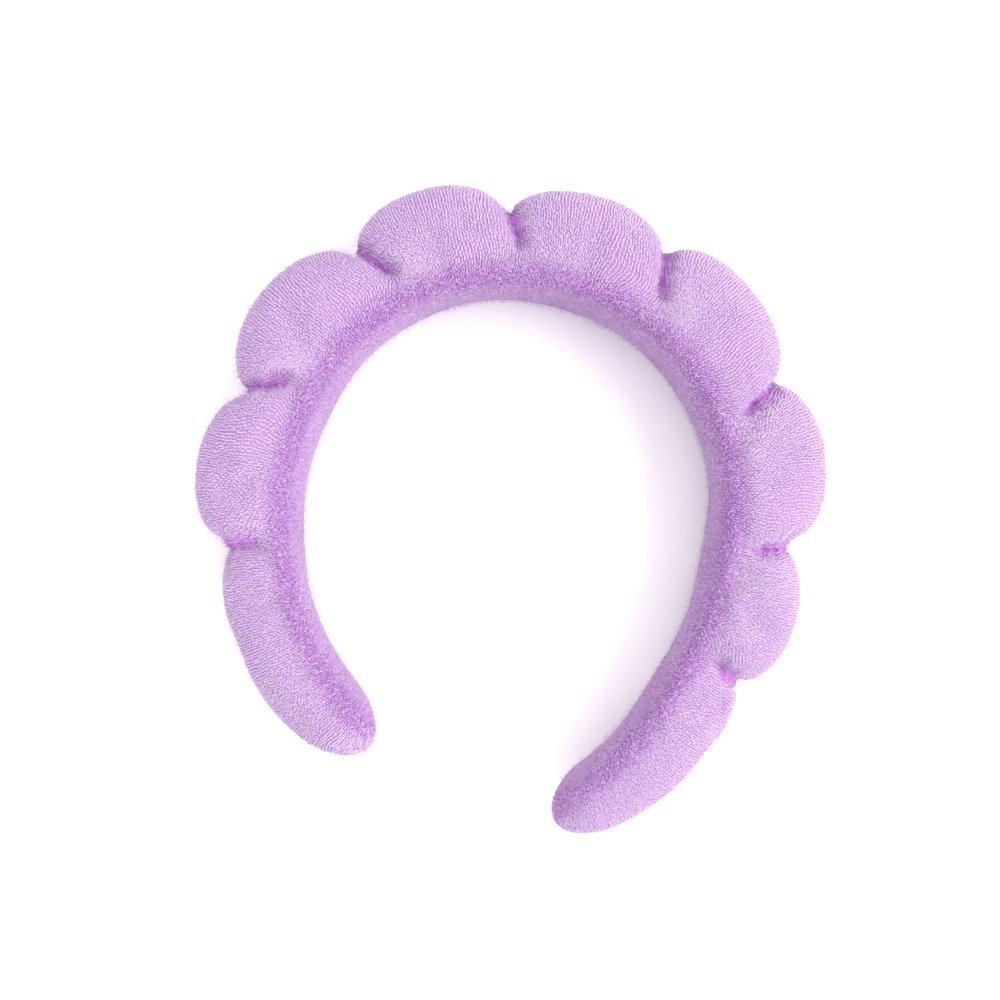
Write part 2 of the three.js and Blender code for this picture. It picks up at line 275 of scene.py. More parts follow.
def creased(along, points):
    """An outline's points, pulled inwards by the creases near it, and how deep in a fold each one lies."""
    outwards, up = points[:, 0].copy(), points[:, 1].copy()
    top = (up > 0).astype(int)
    spread = 1 + outwards / np.where(abs(along) < CROWN_ARC * HEAD_RADIUS, HEAD_RADIUS, 100.0)
    core = np.stack([np.full_like(outwards, PINCH), np.zeros_like(up)], -1)
    inwards = core - points
    inwards /= np.linalg.norm(inwards, axis=1, keepdims=True) + 1e-9
    moved, fold = points.copy(), np.zeros(len(points))
    for g, gather in enumerate(GATHERS):
        away = (along - gather) * spread - crease_wander[g][top] * (outwards - PINCH)
        if np.abs(away).min() > 3 * CREASE_WIDTH:
            continue
        held = smooth((outwards - PINCH + 4) / 7)
        facing = np.abs(up) / np.hypot(up, outwards - PINCH)
        depth = CREASE_DEPTH[g] * (EDGE_DEPTH_SHARE + (1 - EDGE_DEPTH_SHARE) * smooth(facing * 1.3)) * held
        depth = depth * pillow(away / CREASE_WIDTH)
        dimple = DIMPLE_DEPTH * np.exp(-((away / 3.2) ** 2) - ((outwards - PINCH) / 4.0) ** 2)
        pucker = np.sin(2 * math.pi * outwards / PUCKER_PITCH + pucker_phase[g][top])
        pucker = PUCKER_DEPTH * held * np.exp(-np.abs(away) / 5) * pucker
        tall = smooth((np.abs(up) - 6) / 8)
        moved += inwards * (depth + pucker)[:, None]
        # the fold mask pins the sewn cloth and also carries the painted crease shade, which reaches further
        # on one side of each crease than on the other
        fold = np.maximum(fold, held * np.exp(-np.abs(away) / np.where(away < 0, 0.7, 1.3)))
        moved[:, 1] -= np.sign(up) * dimple * tall
    return moved, fold


def leaning(along, outwards):
    """How far along the band the creases' lean carries an outline's points, in millimetres on the line."""
    moved = np.zeros_like(outwards)
    for g, gather in enumerate(GATHERS):
        near = 1 - smooth(abs(along - gather) / 19)
        inwards = np.maximum(EDGE_THICKNESS[g + 1] - outwards, 0) * smooth(outwards / PINCH)
        moved += CREASE_LEAN[g] * near * inwards / (1 + outwards / 80)
    return moved


# %% [markdown]
# ## The towelling's ground
# The ground is the woven cloth that the loops stand on. We loft it as one grid of points, row by row
# along the band, with rows close together at the creases. Both tips close like the end of a drawstring
# bag, with small folds that meet at a point. Soft stuffing is never even, so a few long slow waves move
# the surface by half a millimetre.

# %% Loft the ground
ROW_NEAR, ROW_FAR = 0.5, 1.7  # row spacing at a crease and away from it
TIP_FOLDS = 11
CAP_ROWS = 12
CAP_ARC = 19.6  # over the surface, from the start of a tip's rounded end to its point
SURFACE_HALF = HALF_LENGTH - TIP_ROUND + CAP_ARC
wave_turns = random.uniform(-1, 1, (9, 2)) * [0.16, 3.4]
wave_phase = random.uniform(0, 2 * math.pi, 9)


def row_places():
    """Distances from the crown of the straight rows, closer together at the gathers."""
    fine = np.linspace(-HALF_LENGTH + TIP_ROUND, HALF_LENGTH - TIP_ROUND, 8001)
    near = np.min(np.abs(fine[:, None] - np.array(GATHERS)), axis=1)
    spacing = ROW_NEAR + (ROW_FAR - ROW_NEAR) * smooth(near / 9)
    count = np.concatenate([[0], np.cumsum(np.diff(fine) / spacing[1:])])
    return np.interp(np.linspace(0, count[-1], int(count[-1])), count, fine)


def waves(along, share):
    """Unevenness of the stuffing, in millimetres."""
    total = sum(
        np.sin(a * along + round(b) * 2 * math.pi * share + phase)
        for (a, b), phase in zip(wave_turns, wave_phase)
    )
    return 0.16 * total


def ground_rows():
    """The points (rows, AROUND, 3) in metres; each row's place along, over the surface, girth; folds."""
    straight = row_places()
    cap_turn = np.linspace(0, math.pi / 2, CAP_ROWS + 1)[1:]
    cap = HALF_LENGTH - TIP_ROUND + (TIP_ROUND - PILE) * np.sin(cap_turn)
    over = HALF_LENGTH - TIP_ROUND + CAP_ARC * cap_turn / (math.pi / 2)
    along = np.concatenate([-cap[::-1], straight, cap])
    surface = np.concatenate([-over[::-1], straight, over])
    shrink = np.concatenate([np.cos(cap_turn)[::-1], np.ones(len(straight)), np.cos(cap_turn)])
    shrink[[0, -1]] = 0
    thickness, height = swell(along)
    share = np.arange(AROUND) / AROUND
    rows, girths, folds_in = [], [], []
    for s, k, t, h in zip(along, shrink, thickness, height):
        points, girth = outline(s, t, h)
        points, fold = creased(s, points)
        folds_in.append(fold)
        middle = np.array([t / 2, 0])
        out = points - middle
        out /= np.linalg.norm(out, axis=1, keepdims=True)
        folds = 1 + 0.09 * (1 - k) * np.cos(2 * math.pi * TIP_FOLDS * share)
        points = middle + (points - middle) * (k * folds)[:, None] + out * (k * waves(s, share))[:, None]
        rows.append(place(s + leaning(s, points[:, 0]), points[:, 0], points[:, 1]))
        girths.append(girth * k)
    return np.array(rows), along, surface, np.array(girths), np.array(folds_in)


ground, row_along, row_surface, row_girth, fold = ground_rows()
print(f"the ground has {len(ground)} rows of {AROUND} points, at most {row_girth.max():.0f} mm round")

# %% Directions on the ground
def directions(points):
    """At each of the ground's points: which way is out of the band, and which way is on around it."""
    lengthwise = np.gradient(points, axis=0)
    around = np.roll(points, -1, axis=1) - np.roll(points, 1, axis=1)
    around[[0, -1]] = around[[1, -2]]
    out = np.cross(lengthwise, around)
    out[0], out[-1] = -lengthwise[0].mean(axis=0), lengthwise[-1].mean(axis=0)
    out /= np.linalg.norm(out, axis=-1, keepdims=True)
    if ((points - points.mean(axis=1, keepdims=True)) * out)[20:-20].sum() < 0:
        out[1:-1] *= -1
        around = -around
    return out, around / np.linalg.norm(around, axis=-1, keepdims=True)


# %% How far each point lies from the head
def depth_in_band(points):
    """Distance outwards from the line, in millimetres, for the ground's rows."""
    start = place(row_along, np.zeros(len(row_along)), 0)
    normal = place(row_along, np.ones(len(row_along)), 0) - start
    return ((points - start[:, None]) * (normal / MM)[:, None]).sum(axis=-1) / MM


# %% [markdown]
# ## Fill the cloth
# Stuffing pushes the cloth out until its yarns pull tight, and that draws the small tucks that run out
# from each gather. Blender's cloth does this. The tube starts slightly slack. Then an air pressure
# fills it, while the parts that are sewn, held by the hoop or pressed on the table are pinned. It only
# has to finish a shape that is nearly right, so twenty frames are enough, and no point may move further
# than a cap.

# %% Cloth under pressure
PRESSURE, CLOTH_FRAMES = 150.0, 20
EXTRA_CLOTH = 0.05  # the tube is sewn from this much more cloth than it starts with
SLACK, CLOTH_CAP = 1.1, 1.9  # how far the tube starts drawn in, and how far it may move
COARSE = 2  # rows and columns of the ground for each one of the cloth's


def filled(points, pinned):
    """The tube of points (rows, columns, 3) after the pressure has filled it."""
    count, wide = pinned.shape
    r, c = (a.ravel() for a in np.meshgrid(np.arange(count - 1), np.arange(wide), indexing="ij"))
    nxt = (c + 1) % wide
    quads = np.stack([r * wide + c, (r + 1) * wide + c, (r + 1) * wide + nxt, r * wide + nxt], -1)
    ends = [tuple(range(wide))[::-1], tuple(range((count - 1) * wide, count * wide))]
    flat = points.reshape(-1, 3)
    normals = np.cross(flat[quads[:, 1]] - flat[quads[:, 0]], flat[quads[:, 3]] - flat[quads[:, 0]])
    from_middle = flat[quads[:, 0]] - np.repeat(points.mean(axis=1), wide, axis=0)[quads[:, 0]]
    faces = [tuple(q) for q in quads] + ends
    if (normals * from_middle).sum() < 0:  # the pressure pushes the way that the faces point
        faces = [face[::-1] for face in faces]
    mesh = bpy.data.meshes.new("tube")
    mesh.from_pydata([tuple(p) for p in flat], [], faces)
    tube = bpy.data.objects.new("tube", mesh)
    bpy.context.scene.collection.objects.link(tube)
    group = tube.vertex_groups.new(name="sewn")
    for level in range(1, 11):
        chosen = np.flatnonzero(np.round(pinned.ravel() * 10) == level)
        group.add([int(i) for i in chosen], level / 10, "REPLACE")
    cloth = tube.modifiers.new("cloth", "CLOTH")
    cloth.settings.quality = 5
    cloth.settings.mass = 0.3
    cloth.settings.tension_stiffness = cloth.settings.compression_stiffness = 15
    cloth.settings.shear_stiffness = 5
    cloth.settings.bending_stiffness = 0.5
    cloth.settings.shrink_min = -EXTRA_CLOTH
    cloth.settings.use_pressure = True
    cloth.settings.uniform_pressure_force = PRESSURE
    cloth.settings.vertex_group_mass = "sewn"
    cloth.settings.effector_weights.gravity = 0
    cloth.collision_settings.use_collision = False
    cloth.point_cache.frame_start, cloth.point_cache.frame_end = 1, CLOTH_FRAMES
    for number in range(1, CLOTH_FRAMES + 1):
        bpy.context.scene.frame_set(number)
    evaluated = tube.evaluated_get(bpy.context.evaluated_depsgraph_get())
    moved = np.zeros(len(mesh.vertices) * 3, np.float32)
    evaluated.data.vertices.foreach_get("co", moved)
    bpy.context.scene.frame_set(1)
    bpy.data.objects.remove(tube)
    bpy.data.meshes.remove(mesh)
    return moved.reshape(points.shape).astype(float)


def refined(coarse, rows, columns):
    """A movement known at some rows and columns, carried over to all of the ground's points."""
    coarse = np.concatenate([coarse, coarse[:, :1]], axis=1)
    by_row = np.zeros((len(rows), AROUND, 3))
    full = np.zeros((len(row_along), AROUND, 3))
    for axis in range(3):
        for k in range(len(rows)):
            by_row[k, :, axis] = np.interp(np.arange(AROUND), np.append(columns, AROUND), coarse[k, :, axis])
        for k in range(AROUND):
            moved = by_row[:, k, axis]
            full[:, k, axis] = np.interp(np.arange(len(row_along)), rows, moved, left=0, right=0)
    return full


def capped(move):
    """The cloth's movement in metres, smoothed over its neighbours and held under the cap."""
    for _ in range(2):
        sides = np.roll(move, 1, axis=1) + np.roll(move, -1, axis=1)
        move[1:-1] = 0.5 * move[1:-1] + 0.125 * (sides[1:-1] + move[2:] + move[:-2])
    length = np.linalg.norm(move, axis=-1, keepdims=True) + 1e-12
    return move * np.minimum(1, CLOTH_CAP * MM / length)


# %% Fill the tube
held_by_hoop = 1 - smooth((depth_in_band(ground) - 3) / 5)
sewn = smooth((fold - 0.2) / 0.4)
on_table = 1 - smooth((ground[..., 2] / MM - 1.5) / 3)
at_tip = np.repeat(smooth((np.abs(row_along) - HALF_LENGTH + 58) / 28)[:, None], AROUND, axis=1)
pinned = np.maximum.reduce([held_by_hoop, sewn, on_table, at_tip])
slack_tube = ground - directions(ground)[0] * (SLACK * MM * (1 - pinned))[..., None]
rows = np.arange(CAP_ROWS, len(ground) - CAP_ROWS, COARSE)
columns = np.arange(0, AROUND, COARSE)
coarse_tube = slack_tube[rows][:, columns]
coarse_move = filled(coarse_tube, pinned[rows][:, columns]) - coarse_tube
filled_tube = slack_tube + capped(refined(coarse_move, rows, columns))
gain = ((filled_tube - ground) * directions(ground)[0]).sum(axis=-1) / MM
print(f"where it is free, the filled tube lies {gain[pinned < 0.1].mean():.2f} mm further out")
ground = filled_tube

# %% Where painted shade falls on the cloth
outside, upwards = directions(ground)
depth = depth_in_band(ground)
inner_wall = 1 - smooth((depth - 0.4) / 4.6)
# painted shade: full where the wall that faces the head turns over into the top, about half on the wall
# itself, fading to nothing 10 mm out from the head line
wall_shade = (0.55 + 0.45 * smooth((depth - 0.2) / 1.6)) * (1 - smooth((depth - 2.4) / 8.0))
print(f"{inner_wall.mean():.0%} of the ground faces the head")

# %% [markdown]
# ## The yarn and the other finishes
# Towelling looks soft because light goes into the loops and comes out again deeper in colour, so its
# gaps are a strong violet and its tops are pale. We paint that light into the colours: each loop is
# darker at its root, as painted shade, and paler at its top, as a painted highlight, and the ground
# between the loops is painted darker still. The yarn also varies in tone from loop to loop and slowly
# over the cloth. Painted shade deepens the creases and the wall that faces the head. A sheen stands for
# the fibres that are too fine to model. The materials read attributes that the loops carry, so that the
# pattern stays with the cloth as it bends.

# %% Node helpers
def shader_node(tree, kind, inputs=None, **settings):
    """A shader or geometry node. Inputs, by name or number, are constants or other nodes' outputs."""
    node = tree.nodes.new(kind)
    for name, value in settings.items():
        setattr(node, name, value)
    for key, value in (inputs or {}).items():
        if isinstance(value, bpy.types.NodeSocket):
            tree.links.new(value, node.inputs[key])
        else:
            node.inputs[key].default_value = value
    return node


def new_finish(name, roughness, sheen=0.0, sheen_tint=(1, 1, 1), specular=0.5):
    """A material with a Principled shader, whose constant properties are set on its own sockets."""
    material = bpy.data.materials.new(name)
    material.use_nodes = True
    shader = material.node_tree.nodes["Principled BSDF"]
    shader.inputs["Roughness"].default_value = roughness
    shader.inputs["Sheen Weight"].default_value = sheen
    shader.inputs["Sheen Roughness"].default_value = 0.45
    shader.inputs["Sheen Tint"].default_value = (*sheen_tint, 1)
    shader.inputs["Specular IOR Level"].default_value = specular
    return material, material.node_tree, shader


def ramp(tree, factor, stops):
    """A colour ramp from (place, colour) pairs."""
    node = shader_node(tree, "ShaderNodeValToRGB", {"Fac": factor})
    elements = node.color_ramp.elements
    while len(elements) < len(stops):
        elements.new(0.5)
    for element, (position, colour) in zip(elements, stops):
        element.position, element.color = position, (*colour, 1)
    return node.outputs["Color"]


def attribute(tree, name, output="Fac"):
    """A named attribute of the piece, in a material."""
    return shader_node(tree, "ShaderNodeAttribute", attribute_name=name).outputs[output]


def math_node(tree, operation, *values):
    """One Math node, in a material or a Geometry Nodes tree."""
    return shader_node(tree, "ShaderNodeMath", dict(enumerate(values)), operation=operation).outputs[0]


# %% The loops' yarn
YARN_ROOT_SHADE = (0.54, 0.36, 0.635)
YARN_MIDDLE = (0.58, 0.42, 0.655)
YARN_TOP_LIT = (0.62, 0.485, 0.685)
FOLD_SHADE_COLOUR = (0.50, 0.15, 0.62)  # painted crease shade: the deeper violet that light takes on going from wall to wall in a fold
WALL_SHADE_TINT = (0.74, 0.52, 0.81)  # painted shade, multiplied into the pile on the wall that faces the head and on its ridge


def with_painted_shade(tree, colour):
    """The pile's colour with painted shade: darker, in uneven patches, on the wall that faces the head, and
    a deep violet in the creases.
    """
    object_place = shader_node(tree, "ShaderNodeTexCoord").outputs["Object"]
    patches = shader_node(tree, "ShaderNodeTexNoise", {"Vector": object_place, "Scale": 950, "Detail": 2})
    uneven = math_node(tree, "MULTIPLY_ADD", patches.outputs["Fac"], 5.0, -1.6)
    for name, tint, kind in (("wall_shade", WALL_SHADE_TINT, "MULTIPLY"), ("fold", FOLD_SHADE_COLOUR, "MIX")):
        share = math_node(tree, "MULTIPLY", attribute(tree, name), uneven if name == "wall_shade" else 1.0)
        mixed = shader_node(
            tree,
            "ShaderNodeMix",
            {0: share, 6: colour, 7: (*tint, 1)},
            data_type="RGBA",
            blend_type=kind,
        )
        colour = mixed.outputs[2]
    return colour


def yarn_finish(name, top, middle, root):
    """Dyed cotton yarn, varied in tone from loop to loop and slowly over the cloth, with painted shade at a
    loop's root and a painted highlight at its top.
    """
    material, tree, shader = new_finish(name, 0.95, 0.28, (0.98, 0.92, 1.0), 0.06)
    object_place = shader_node(tree, "ShaderNodeTexCoord").outputs["Object"]
    slow = shader_node(tree, "ShaderNodeTexNoise", {"Vector": object_place, "Scale": 45, "Detail": 2})
    height = attribute(tree, "height")
    tone = attribute(tree, "tone")
    shade = math_node(tree, "MULTIPLY_ADD", tone, 0.24, height)
    shade = math_node(tree, "MULTIPLY_ADD", slow.outputs["Fac"], 0.5, shade)
    shade = math_node(tree, "SUBTRACT", shade, 0.37)
    # by each loop's height: painted shade at its root and a painted highlight at its top
    colour = ramp(tree, shade, [(0.0, root), (0.45, middle), (1.0, top)])
    colour = with_painted_shade(tree, colour)
    twist = shader_node(
        tree, "ShaderNodeTexNoise", {"Vector": object_place, "Scale": 5200, "Detail": 1}
    )
    bump = shader_node(
        tree, "ShaderNodeBump", {"Height": twist.outputs["Fac"], "Strength": 0.35, "Distance": 0.0001}
    )
    rough = shader_node(
        tree, "ShaderNodeMapRange", {"Value": twist.outputs["Fac"], "To Min": 0.88, "To Max": 1.0}
    )
    tree.links.new(colour, shader.inputs["Base Color"])
    tree.links.new(bump.outputs["Normal"], shader.inputs["Normal"])
    tree.links.new(rough.outputs["Result"], shader.inputs["Roughness"])
    return material


loop_yarn = yarn_finish("towelling_loops", YARN_TOP_LIT, YARN_MIDDLE, YARN_ROOT_SHADE)
# painted highlight: the hairs' yarn is paler than the loops', for the pale halo where they catch the light
fibre_yarn = yarn_finish("stray_fibres", (0.72, 0.60, 0.76), (0.66, 0.53, 0.71), YARN_MIDDLE)
thread_yarn = yarn_finish("sewing_thread", (0.46, 0.30, 0.54), (0.40, 0.24, 0.48), YARN_ROOT_SHADE)


# %% The woven ground under the loops
ROW_PITCH = 0.68  # between two rows of loops, in millimetres


def ground_finish():
    """The base weave, which shows between the loops: crossing ribs that follow the cloth's own UV map,
    painted darker than the yarn as the shade in the gaps, and darker again in the grooves between the cells.
    """
    material, tree, shader = new_finish("towelling_ground", 0.95, 0.2, (0.92, 0.82, 1.0), 0.06)
    cloth = shader_node(tree, "ShaderNodeUVMap", uv_map="UVMap").outputs["UV"]
    ribs_and_loops = (2 * SURFACE_HALF / ROW_PITCH, 140, 1)
    ribs = shader_node(tree, "ShaderNodeMapping", {"Vector": cloth, "Scale": ribs_and_loops})
    cells = shader_node(
        tree, "ShaderNodeTexVoronoi", {"Vector": ribs.outputs["Vector"], "Scale": 1.0, "Randomness": 0.55}
    )
    object_place = shader_node(tree, "ShaderNodeTexCoord").outputs["Object"]
    slow = shader_node(tree, "ShaderNodeTexNoise", {"Vector": object_place, "Scale": 60, "Detail": 3})
    shade = math_node(tree, "MULTIPLY_ADD", slow.outputs["Fac"], 0.5, cells.outputs["Distance"])
    # painted shade: the ground is darker than the loops' yarn, and darkest in the grooves where the bump is
    # low
    colour = ramp(tree, shade, [(0.15, (0.47, 0.31, 0.56)), (1.0, (0.38, 0.22, 0.47))])
    colour = with_painted_shade(tree, colour)
    raised = math_node(tree, "SUBTRACT", 1.0, cells.outputs["Distance"])
    bump = shader_node(
        tree,
        "ShaderNodeBump",
        {"Height": raised, "Strength": 0.6, "Distance": 0.0004},
    )
    tree.links.new(colour, shader.inputs["Base Color"])
    tree.links.new(bump.outputs["Normal"], shader.inputs["Normal"])
    return material


towelling_ground = ground_finish()

# %% [markdown]
# ## The padded pieces
# The band flexes at its gathers, so the cloth can't be one piece: each piece spans one gather, from the
# middle of a puff to the middle of the next, and keeps the two bodies of its gather and where a bend
# there would start and end. The pieces share a row of points where they meet, so no gap opens. Each
# piece is closed inside the stuffing, as a cushion is.

# %% Where the pieces meet
middles = [(EDGES[k] + EDGES[k + 1]) / 2 for k in range(len(SECTIONS))]
cuts = [0] + [int(np.argmin(np.abs(row_along - m))) for m in middles[1:-1]] + [len(row_along) - 1]
PIECES = []
for g, gather in enumerate(GATHERS):
    first, last = SECTIONS[g], SECTIONS[g + 1]
    bend_start = middles[g] + 3 if g > 0 else gather - 18
    bend_end = middles[g + 1] - 3 if g < len(GATHERS) - 1 else gather + 18
    start, end = (Vector(place(s, HINGE_DEPTH, 0)) for s in (bend_start, bend_end))
    bend = (first, last, start, end)
    PIECES.append({"name": f"{first}_to_{last}", "rows": (cuts[g], cuts[g + 1]), "bend": bend})
print("pieces:", ", ".join(p["name"] for p in PIECES))


# %% Cloth and closed pieces from the ground's rows
def grid_mesh(rows, seam_open):
    """A tube of the ground's rows with its UV map and attributes, open along its seam or not."""
    first, last = rows
    columns = np.arange(AROUND + 1) if seam_open else np.arange(AROUND)
    picked = columns % AROUND
    count, wide = last - first + 1, len(columns)
    points = ground[first : last + 1][:, picked].reshape(-1, 3)
    r, c = np.meshgrid(np.arange(count - 1), np.arange(AROUND), indexing="ij")
    nxt = c + 1 if seam_open else (c + 1) % AROUND
    low, high = r * wide, (r + 1) * wide
    quads = np.stack([low + c, high + c, high + nxt, low + nxt], -1).reshape(-1, 4)
    u = (row_surface[first : last + 1] / SURFACE_HALF + 1) / 2
    quad_u = np.stack([u[r], u[r + 1], u[r + 1], u[r]], -1).reshape(-1)
    quad_v = np.stack([c, c, c + 1, c + 1], -1).reshape(-1) / AROUND
    ends = [] if seam_open else [list(range(wide)), list(range((count - 1) * wide, count * wide))]
    return points, quads, np.stack([quad_u, quad_v], -1), ends


def add_attribute(mesh, name, kind, values):
    """A point attribute from an array."""
    key = "vector" if kind == "FLOAT_VECTOR" else "value"
    mesh.attributes.new(name, kind, "POINT").data.foreach_set(key, np.asarray(values, np.float32).ravel())


def facing_out(points, quads):
    """The quads, turned over if their sides with the normals face the stuffing."""
    corners = points[quads]
    normals = np.cross(corners[:, 1] - corners[:, 0], corners[:, 3] - corners[:, 0])
    middles_of_rows = points.reshape(-1, AROUND, 3).mean(axis=1)
    from_middle = corners[:, 0] - middles_of_rows[quads[:, 0] // AROUND]
    return quads if (normals * from_middle).sum() > 0 else quads[:, ::-1]


# %% The eight padded pieces
def padded_piece(piece):
    """A closed piece of padded towelling across one gather."""
    points, quads, uv, ends = grid_mesh(piece["rows"], False)
    out = outside[piece["rows"][0] : piece["rows"][1] + 1].reshape(-1, 3)
    turned = facing_out(points, quads)
    as_laid = turned is quads
    if not as_laid:
        quads, uv = turned, uv.reshape(-1, 4, 2)[:, ::-1].reshape(-1, 2)
    closing, closing_normals = [], []
    points, out = list(points), list(out)
    for k, ring in enumerate(ends):
        centre = len(points)
        row = piece["rows"][k]
        points.append(ground[row].mean(axis=0))
        direction = place(row_along[row] + (1 if k else -1), 10, 0) - place(row_along[row], 10, 0)
        direction = direction / np.linalg.norm(direction)
        out.append(direction)
        for a, b in zip(ring, ring[1:] + ring[:1]):
            closing.append((a, b, centre) if (k == 0) == as_laid else (b, a, centre))
            closing_normals += [direction] * 3
    mesh = bpy.data.meshes.new("cover_" + piece["name"])
    mesh.from_pydata([tuple(p) for p in points], [], [tuple(q) for q in quads] + closing)
    layer = mesh.uv_layers.new(name="UVMap")
    corners = np.concatenate([uv, np.zeros((len(closing) * 3, 2))])
    layer.data.foreach_set("uv", corners.astype(np.float32).ravel())
    mesh.shade_smooth()
    side_normals = np.array(out)[np.asarray(quads).ravel()]
    mesh.normals_split_custom_set([tuple(n) for n in side_normals] + [tuple(n) for n in closing_normals])
    first, last = piece["rows"]
    for name, values in (("wall_shade", wall_shade), ("fold", fold)):
        add_attribute(mesh, name, "FLOAT", np.append(values[first : last + 1].ravel(), [0, 0]))
    mesh.materials.append(towelling_ground)
    obj = bpy.data.objects.new("cover_" + piece["name"], mesh)
    bpy.context.scene.collection.objects.link(obj)
    return obj


for piece in PIECES:
    piece["cover"] = padded_piece(piece)
print("padded pieces:", sum(len(p["cover"].data.polygons) for p in PIECES), "faces")

# %% [markdown]
# ## The loops
# Terry towelling is a sheet with thousands of small loops of yarn, in rows across the band. Geometry
# Nodes place them: a flat grid of points is laid on the cloth by its UV map, so that row and column
# numbers become places on the puffs. Every second row is shifted by half a loop, like bricks. An arch
# of yarn then stands on each point. On the wall that touches the head, the loops are brushed every way,
# so there they turn at random.

# %% A Geometry Nodes tree with named inputs
def new_tree(name, sizes):
    """A tree with a Geometry input and output, and one named input for each size."""
    tree = bpy.data.node_groups.new(name, "GeometryNodeTree")
    tree.interface.new_socket("Geometry", in_out="INPUT", socket_type="NodeSocketGeometry")
    tree.interface.new_socket("Geometry", in_out="OUTPUT", socket_type="NodeSocketGeometry")
    for label, value in sizes.items():
        kind = "NodeSocketInt" if isinstance(value, int) else "NodeSocketFloat"
        tree.interface.new_socket(label, in_out="INPUT", socket_type=kind).default_value = value
    return tree, tree.nodes.new("NodeGroupInput").outputs


def close_tree(tree, geometry, material):
    """Realizes the instances and gives them their finish, which ends a tree."""
    real = shader_node(tree, "GeometryNodeRealizeInstances", {0: geometry})
    height = shader_node(tree, "GeometryNodeInputPosition")
    split = shader_node(tree, "ShaderNodeSeparateXYZ", {0: height.outputs[0]})
    above = shader_node(
        tree,
        "ShaderNodeCombineXYZ",
        {0: split.outputs[0], 1: split.outputs[1], 2: math_node(tree, "MAXIMUM", split.outputs[2], 0.0001)},
    )
    pressed = shader_node(
        tree, "GeometryNodeSetPosition", {"Geometry": real.outputs[0], "Position": above.outputs[0]}
    )
    done = shader_node(
        tree, "GeometryNodeSetMaterial", {"Geometry": pressed.outputs[0], "Material": material}
    )
    tree.links.new(done.outputs[0], tree.nodes.new("NodeGroupOutput").inputs[0])


def grown(name, tree, sheet, sizes):
    """The tree's result on a sheet of cloth, as a plain mesh object."""
    helper = bpy.data.objects.new(name + "_helper", sheet)
    bpy.context.scene.collection.objects.link(helper)
    modifier = helper.modifiers.new("tree", "NODES")
    modifier.node_group = tree
    for item in tree.interface.items_tree:
        if item.in_out == "INPUT" and item.name in sizes:
            modifier[item.identifier] = sizes[item.name]
    evaluated = helper.evaluated_get(bpy.context.evaluated_depsgraph_get())
    mesh = bpy.data.meshes.new_from_object(evaluated)
    mesh.name = name
    bpy.data.objects.remove(helper)
    obj = bpy.data.objects.new(name, mesh)
    bpy.context.scene.collection.objects.link(obj)
    return obj


# %% The loops' tree
def sampled(tree, sheet, field, spot, kind="FLOAT_VECTOR"):
    """The value of a field where the cloth has that UV place."""
    uv = shader_node(tree, "GeometryNodeInputNamedAttribute", {"Name": "UVMap"}, data_type="FLOAT_VECTOR")
    node = shader_node(
        tree,
        "GeometryNodeSampleUVSurface",
        {"Mesh": sheet, "Value": field, "UV Map": uv.outputs[0], "Sample UV": spot},
        data_type=kind,
    )
    return node.outputs[0]


def stored(tree, name, kind="FLOAT_VECTOR"):
    """A named attribute, in a Geometry Nodes tree."""
    return shader_node(tree, "GeometryNodeInputNamedAttribute", {"Name": name}, data_type=kind).outputs[0]


def random_vector(tree, low, high, seed):
    """Three random numbers for each point or instance."""
    node = shader_node(tree, "FunctionNodeRandomValue", {0: low, 1: high, 8: seed}, data_type="FLOAT_VECTOR")
    return node.outputs[0]


def random_float(tree, low, high, seed):
    """A random number for each point or instance."""
    node = shader_node(tree, "FunctionNodeRandomValue", {2: low, 3: high, 8: seed}, data_type="FLOAT")
    return node.outputs[1]


def vector(tree, x=0.0, y=0.0, z=0.0):
    """Three numbers as one vector."""
    return shader_node(tree, "ShaderNodeCombineXYZ", {0: x, 1: y, 2: z}).outputs[0]


def store(tree, geometry, name, value, **settings):
    """Keep a value on the geometry, under a name that a finish or another tree can read."""
    inputs = {"Geometry": geometry, "Name": name, "Value": value}
    return shader_node(tree, "GeometryNodeStoreNamedAttribute", inputs, **settings).outputs[0]


def strand(tree, start, middle, end, radius):
    """A bent strand of yarn with three sides, which keeps its faces few."""
    bend = {"Resolution": 2, "Start": start, "Middle": middle, "End": end}
    path = shader_node(tree, "GeometryNodeCurveQuadraticBezier", bend)
    section = shader_node(tree, "GeometryNodeCurvePrimitiveCircle", {"Resolution": 3, 4: radius})
    inputs = {"Curve": path.outputs[0], "Profile Curve": section.outputs[0], "Fill Caps": True}
    return shader_node(tree, "GeometryNodeCurveToMesh", inputs).outputs[0]


def planted(tree, points, thing, upright, lean, size, seed, **more):
    """A copy of a strand on each point, leaning from upright, each with its own tone."""
    leaning = shader_node(tree, "FunctionNodeEulerToRotation", {0: lean}).outputs[0]
    turn = {0: upright, 1: leaning}
    turned = shader_node(tree, "FunctionNodeRotateRotation", turn, rotation_space="LOCAL").outputs[0]
    inputs = {"Points": points, "Instance": thing, "Rotation": turned, "Scale": size, **more}
    standing = shader_node(tree, "GeometryNodeInstanceOnPoints", inputs).outputs[0]
    return store(tree, standing, "tone", random_float(tree, 0.0, 1.0, seed), domain="INSTANCE")


LOOP_FOOT = -0.0003  # a loop's feet stand this far inside the ground, in metres


